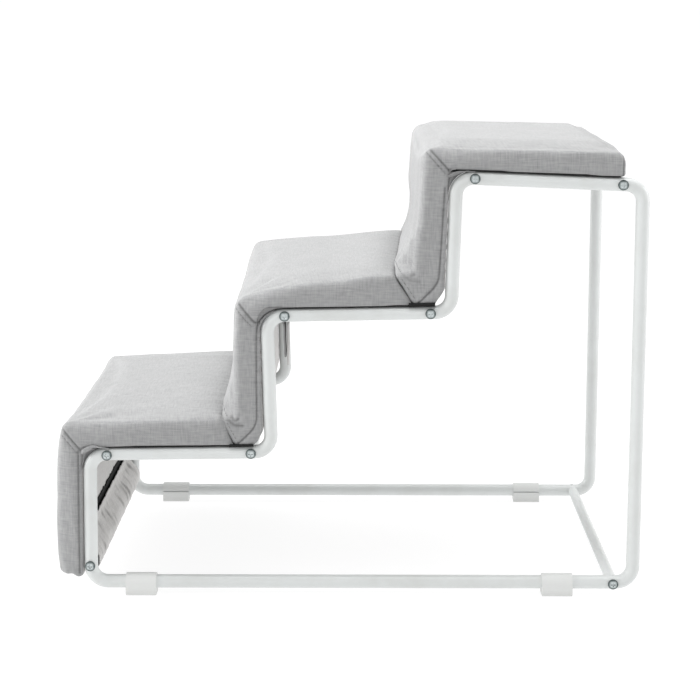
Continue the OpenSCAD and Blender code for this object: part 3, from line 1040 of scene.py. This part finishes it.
def stitch_along(bm, tree, points, look):
    """Stitches along a line of points, laid on the cloth that a ray in direction look meets."""
    hits = []
    for p in points:
        place, normal, _, _ = tree.ray_cast(Vector(p) - look * 0.06, look, 0.12)
        if place is not None:
            hits.append((place, normal))
    for (a, n), (b, _) in zip(hits, hits[1:]):
        if (b - a).length < 3 * STITCH_L and n.dot(look) < 0.1:
            add_stitch(bm, a, a + (b - a) * STITCH_L / (STITCH_L + STITCH_GAP), n)


def spaced(line, step):
    """Points along a polyline at equal steps."""
    line = [np.array(p, float) for p in line]
    lengths = [norm(b - a) for a, b in zip(line, line[1:])]
    ends = np.concatenate([[0], np.cumsum(lengths)])
    marks = np.arange(0, ends[-1], step)
    return np.stack([np.interp(marks, ends, [p[i] for p in line]) for i in range(len(line[0]))], 1)


def make_stitches(k, cushion):
    step = STITCH_L + STITCH_GAP
    tree = BVHTree.FromObject(cushion, bpy.context.evaluated_depsgraph_get())
    bm = bmesh.new()
    for side in SIDES:
        look = Vector((0, -side, 0))
        for line, kind in side_seams(k):
            if kind in ("topstitch", "hem"):
                line = side_points(spaced(line, step), side * HALF_W)
                stitch_along(bm, tree, drape(k, line), look)
        if k > 0:
            toe = toe_stitch_point(k - 1)
            start = VIEW.seam_low[k - 1] + np.array([6 * MM, 1 * MM])
            line = side_points(spaced([start, toe], step), side * HALF_W)
            stitch_along(bm, tree, drape(k, line), look)
    if k > 0:
        reach = HALF_W - 4 * MM
        line = [(toe[0], y, toe[1]) for y in np.arange(-reach, reach, step)]
        stitch_along(bm, tree, drape(k, line), Vector((0.75, 0, -0.66)).normalized())
    piece = object_from(bm, f"topstitching_{k + 1}", orient=False)
    wear(piece, THREAD)
    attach(piece, "frame")


# --- Materials
class Nodes:
    """A material's nodes: each call adds one node and returns its output."""

    def __init__(self, name):
        self.material = bpy.data.materials.new(name)
        self.material.use_nodes = True
        self.tree = self.material.node_tree
        self.tree.nodes.clear()
        self.shader = self.tree.nodes.new("ShaderNodeBsdfPrincipled")
        end = self.tree.nodes.new("ShaderNodeOutputMaterial")
        self.tree.links.new(self.shader.outputs[0], end.inputs["Surface"])

    def put(self, socket, value):
        if isinstance(value, bpy.types.NodeSocket):
            self.tree.links.new(value, socket)
        else:
            socket.default_value = value

    def set(self, **values):
        """Sets the shader's own sockets, and returns the material. An underscore stands for a
        space."""
        for name, value in values.items():
            self.put(self.shader.inputs[name.replace("_", " ")], value)
        return self.material

    def add(self, kind, inputs=(), output=0, **settings):
        node = self.tree.nodes.new("ShaderNode" + kind)
        for name, value in settings.items():
            setattr(node, name, value)
        for name, value in dict(inputs).items():
            self.put(node.inputs[name], value)
        return node.outputs[output]

    def math(self, operation, a, b=0.0):
        return self.add("Math", {0: a, 1: b}, operation=operation)

    def plus(self, a, b):
        return self.math("ADD", a, b)

    def times(self, a, b):
        return self.math("MULTIPLY", a, b)

    def stretch(self, vector, scale):
        return self.add("VectorMath", {0: vector, 1: scale}, operation="MULTIPLY")

    def noise(self, vector, scale, detail=2.0, roughness=0.5):
        """Noise at one scale, or at a scale of its own along each axis."""
        if isinstance(scale, tuple):
            vector, scale = self.stretch(vector, scale), 1.0
        return self.add("TexNoise", {"Vector": vector, "Scale": scale, "Detail": detail,
                                     "Roughness": roughness})

    def cells(self, vector, scale, randomness=1.0):
        return self.add("TexVoronoi", {"Vector": vector, "Scale": scale, "Randomness": randomness})

    def mix(self, factor, a, b):
        return self.add("Mix", {0: factor, 6: a, 7: b}, output=2, data_type="RGBA")

    def between(self, value, low, high, to_low, to_high):
        return self.add("MapRange", {0: value, 1: low, 2: high, 3: to_low, 4: to_high})

    def here(self):
        return self.add("TexCoord", output=3)

    def bump(self, height, distance, strength=1.0):
        return self.add("Bump",
                        {"Height": height, "Distance": distance, "Strength": strength})


def nodes_in_place(name):
    """A material's nodes, and the place on the object that its pattern follows."""
    n = Nodes(name)
    return n, n.here()


def grey(value, warm=0.0):
    return (value * (1 + warm), value, value * (1 - warm), 1)


def cloth_material(name, dark, light, pitch=1.1 * MM, streak=1.0):
    """Plain-woven linen-look cloth: each yarn has its own grey, thick and thin along its length."""
    n = Nodes(name)
    place = n.add("Attribute", output=1, attribute_name="weave")
    fine_u = n.noise(place, (45, 1 / pitch, 3), 2.0)
    fine_v = n.noise(place, (1 / pitch, 45, 5), 2.0)
    slub_u = n.noise(place, (75, 420, 7), 3.0)
    slub_v = n.noise(place, (420, 75, 9), 3.0)
    patch = n.noise(place, 14.0, 2.0)
    yarns = n.plus(n.plus(fine_u, fine_v), n.plus(slub_u, slub_v))
    tone = n.between(n.plus(yarns, n.times(patch, 0.35)),
                     2.175 - 0.8 / streak, 2.175 + 0.8 / streak, 0.0, 1.0)
    colour = n.mix(tone, dark, light)
    # painted shade: the shade attribute darkens the cloth towards near black in grooves, creases
    # and fold sides
    shade = n.add("Attribute", output=2, attribute_name="shade")
    colour = n.mix(n.times(shade, 0.8), colour, grey(0.05))
    yarn = n.add("SeparateXYZ", {0: n.stretch(place, (pi / pitch,) * 3)}).node.outputs
    threads = n.times(n.math("SINE", yarn[0]), n.math("SINE", yarn[1]))
    height = n.plus(n.times(threads, 0.5), n.times(yarns, 0.6))
    return n.set(Base_Color=colour, Roughness=n.between(tone, 0, 1, 0.95, 0.8),
                 Sheen_Weight=0.25, Sheen_Roughness=0.5, Specular_IOR_Level=0.25,
                 Normal=n.bump(height, 0.25 * MM, 0.6))


def base_cloth_material():
    """Black pressed felt with a grid of bonding dimples."""
    n, place = nodes_in_place("black_base_cloth")
    fibres = n.noise(place, (900, 260, 900), 4.0, 0.7)
    dots = n.cells(place, 620.0, 0.1)
    height = n.plus(n.times(dots, 0.7), fibres)
    return n.set(Base_Color=n.mix(fibres, grey(0.006), grey(0.028)), Roughness=0.95,
                 Specular_IOR_Level=0.2, Normal=n.bump(height, 0.2 * MM, 0.7))


def hook_tape_material():
    """Black tape covered in tiny hooks."""
    n, place = nodes_in_place("black_hooks")
    hooks = n.cells(place, 900.0, 0.6)
    lint = n.noise(place, 260.0, 4.0, 0.7)
    return n.set(Base_Color=n.mix(lint, grey(0.003), grey(0.014)), Specular_IOR_Level=0.15,
                 Roughness=n.between(hooks, 0, 0.6, 0.45, 0.9), Normal=n.bump(hooks, 0.6 * MM))


def powder_coat():
    """White powder coat: satin, with a fine orange peel and a trace of dust."""
    n, place = nodes_in_place("white_powder_coat")
    peel = n.noise(place, 700.0, 2.0, 0.6)
    lumps = n.noise(place, 90.0, 3.0)
    dust = n.noise(place, 14.0, 4.0, 0.65)
    colour = n.mix(n.between(dust, 0.45, 0.85, 0.0, 1.0), (0.65, 0.67, 0.665, 1),
                   (0.575, 0.585, 0.57, 1))
    return n.set(Base_Color=colour, Roughness=n.between(lumps, 0.3, 0.7, 0.3, 0.42),
                 Specular_IOR_Level=0.45, Coat_Weight=0.15, Coat_Roughness=0.2,
                 Normal=n.bump(n.plus(peel, n.times(lumps, 0.5)), 0.06 * MM, 0.5))


def zinc():
    """Zinc-plated steel with faint turning marks, darker on the heads' rims and in their recesses.
    """
    n, place = nodes_in_place("zinc_steel")
    grain = n.noise(place, (900, 60, 900), 3.0)
    cloud = n.noise(place, 420.0, 3.0)
    bright = n.mix(cloud, (0.33, 0.37, 0.38, 1), (0.76, 0.81, 0.81, 1))
    # darker wherever a face turns away from the Y axis: the heads' rims and their recesses
    facing = n.add("SeparateXYZ", {0: n.add("NewGeometry", output=1)}, output=1)
    rim = n.between(n.math("ABSOLUTE", facing), 0.94, 0.965, 1.0, 0.0)
    colour = n.mix(rim, bright, (0.09, 0.11, 0.11, 1))
    return n.set(Base_Color=colour, Metallic=1.0, Roughness=n.between(grain, 0.2, 0.8, 0.22, 0.42),
                 Normal=n.bump(grain, 0.05 * MM, 0.4))


def foot_plastic():
    """Matte white plastic with a fine moulded grain and scuffs low down."""
    n, place = nodes_in_place("foot_plastic")
    grain = n.noise(place, 1100.0, 3.0, 0.6)
    scuff = n.noise(place, (60, 60, 400), 4.0, 0.7)
    height = n.add("SeparateXYZ", {0: place}, output=2)
    low = n.between(height, 0.0, 0.008, 0.55, 0.0)
    worn = n.times(low, scuff)
    return n.set(Base_Color=n.mix(worn, (0.68, 0.69, 0.68, 1), (0.42, 0.42, 0.40, 1)),
                 Roughness=n.between(scuff, 0.2, 0.8, 0.42, 0.6), Specular_IOR_Level=0.4,
                 Normal=n.bump(grain, 0.08 * MM, 0.5))


def board_wood():
    """Pale plywood with growth rings and pores."""
    n, place = nodes_in_place("board_wood")
    rings = n.add("TexWave", {"Vector": n.stretch(place, (8, 1.2, 8)), "Scale": 6.0,
                              "Distortion": 5.0, "Detail": 3.0})
    pores = n.noise(place, (1400, 40, 1400), 3.0)
    return n.set(Base_Color=n.mix(rings, (0.50, 0.34, 0.19, 1), (0.66, 0.50, 0.32, 1)),
                 Roughness=n.between(pores, 0.2, 0.8, 0.55, 0.75),
                 Normal=n.bump(pores, 0.1 * MM, 0.5))


def thread_material():
    """Grey twisted sewing thread."""
    n, place = nodes_in_place("sewing_thread")
    twist = n.noise(place, (2600, 2600, 2600), 1.0)
    return n.set(Base_Color=n.mix(twist, grey(0.10), grey(0.24)),
                 Roughness=n.between(twist, 0.2, 0.8, 0.5, 0.75),
                 Normal=n.bump(twist, 0.1 * MM, 0.6))


def floor_paint():
    """Pale paint that glows a little, so that the floor is nearly white."""
    n = Nodes("pale_floor")
    patch = n.noise(n.here(), 1.5, 3.0)
    return n.set(Base_Color=n.mix(patch, grey(0.21), grey(0.24)), Roughness=0.85,
                 Specular_IOR_Level=0.1, Emission_Color=(1, 1, 1, 1), Emission_Strength=FLOOR_GLOW)


LINEN = cloth_material("grey_linen", grey(0.215, -0.015), grey(0.405, 0.0))
# A lighter copy of the linen for the flap, the straps and the risers' backs: partly the cover's
# lighter reverse side, and partly painted light for these faces, which turn away from the main
# lights.
FLAP_CLOTH = cloth_material("flap_linen", grey(0.42, 0.02), grey(0.66, 0.02))
LINING = cloth_material("lining", grey(0.20), grey(0.42), pitch=0.9 * MM, streak=0.7)
BASE_CLOTH = base_cloth_material()
HOOKS = hook_tape_material()
THREAD = thread_material()
CAD_LOOKS = {("side_frame", "crossbar"): powder_coat(), ("bolts", "threaded"): zinc(),
             ("foot",): foot_plastic(), ("tread_board",): board_wood()}


def paint_cad():
    """Gives each CAD node that stays its material."""
    for name, node in frame["nodes"].items():
        for starts, material in CAD_LOOKS.items():
            if name.startswith(starts):
                wear(node, material)


# --- Making everything
make_camera()
make_world(SKY)
make_floor()
for name, place, power in LIGHTS:
    make_light(name, place, LIGHT_SIZE, power)
SCENE.view_settings.view_transform = "Standard"
paint_cad()
for number, cushion in enumerate(make_cushions()):
    make_stitches(number, cushion)
make_base_cloths()
make_hook_tape()
make_front_flap()
make_straps()
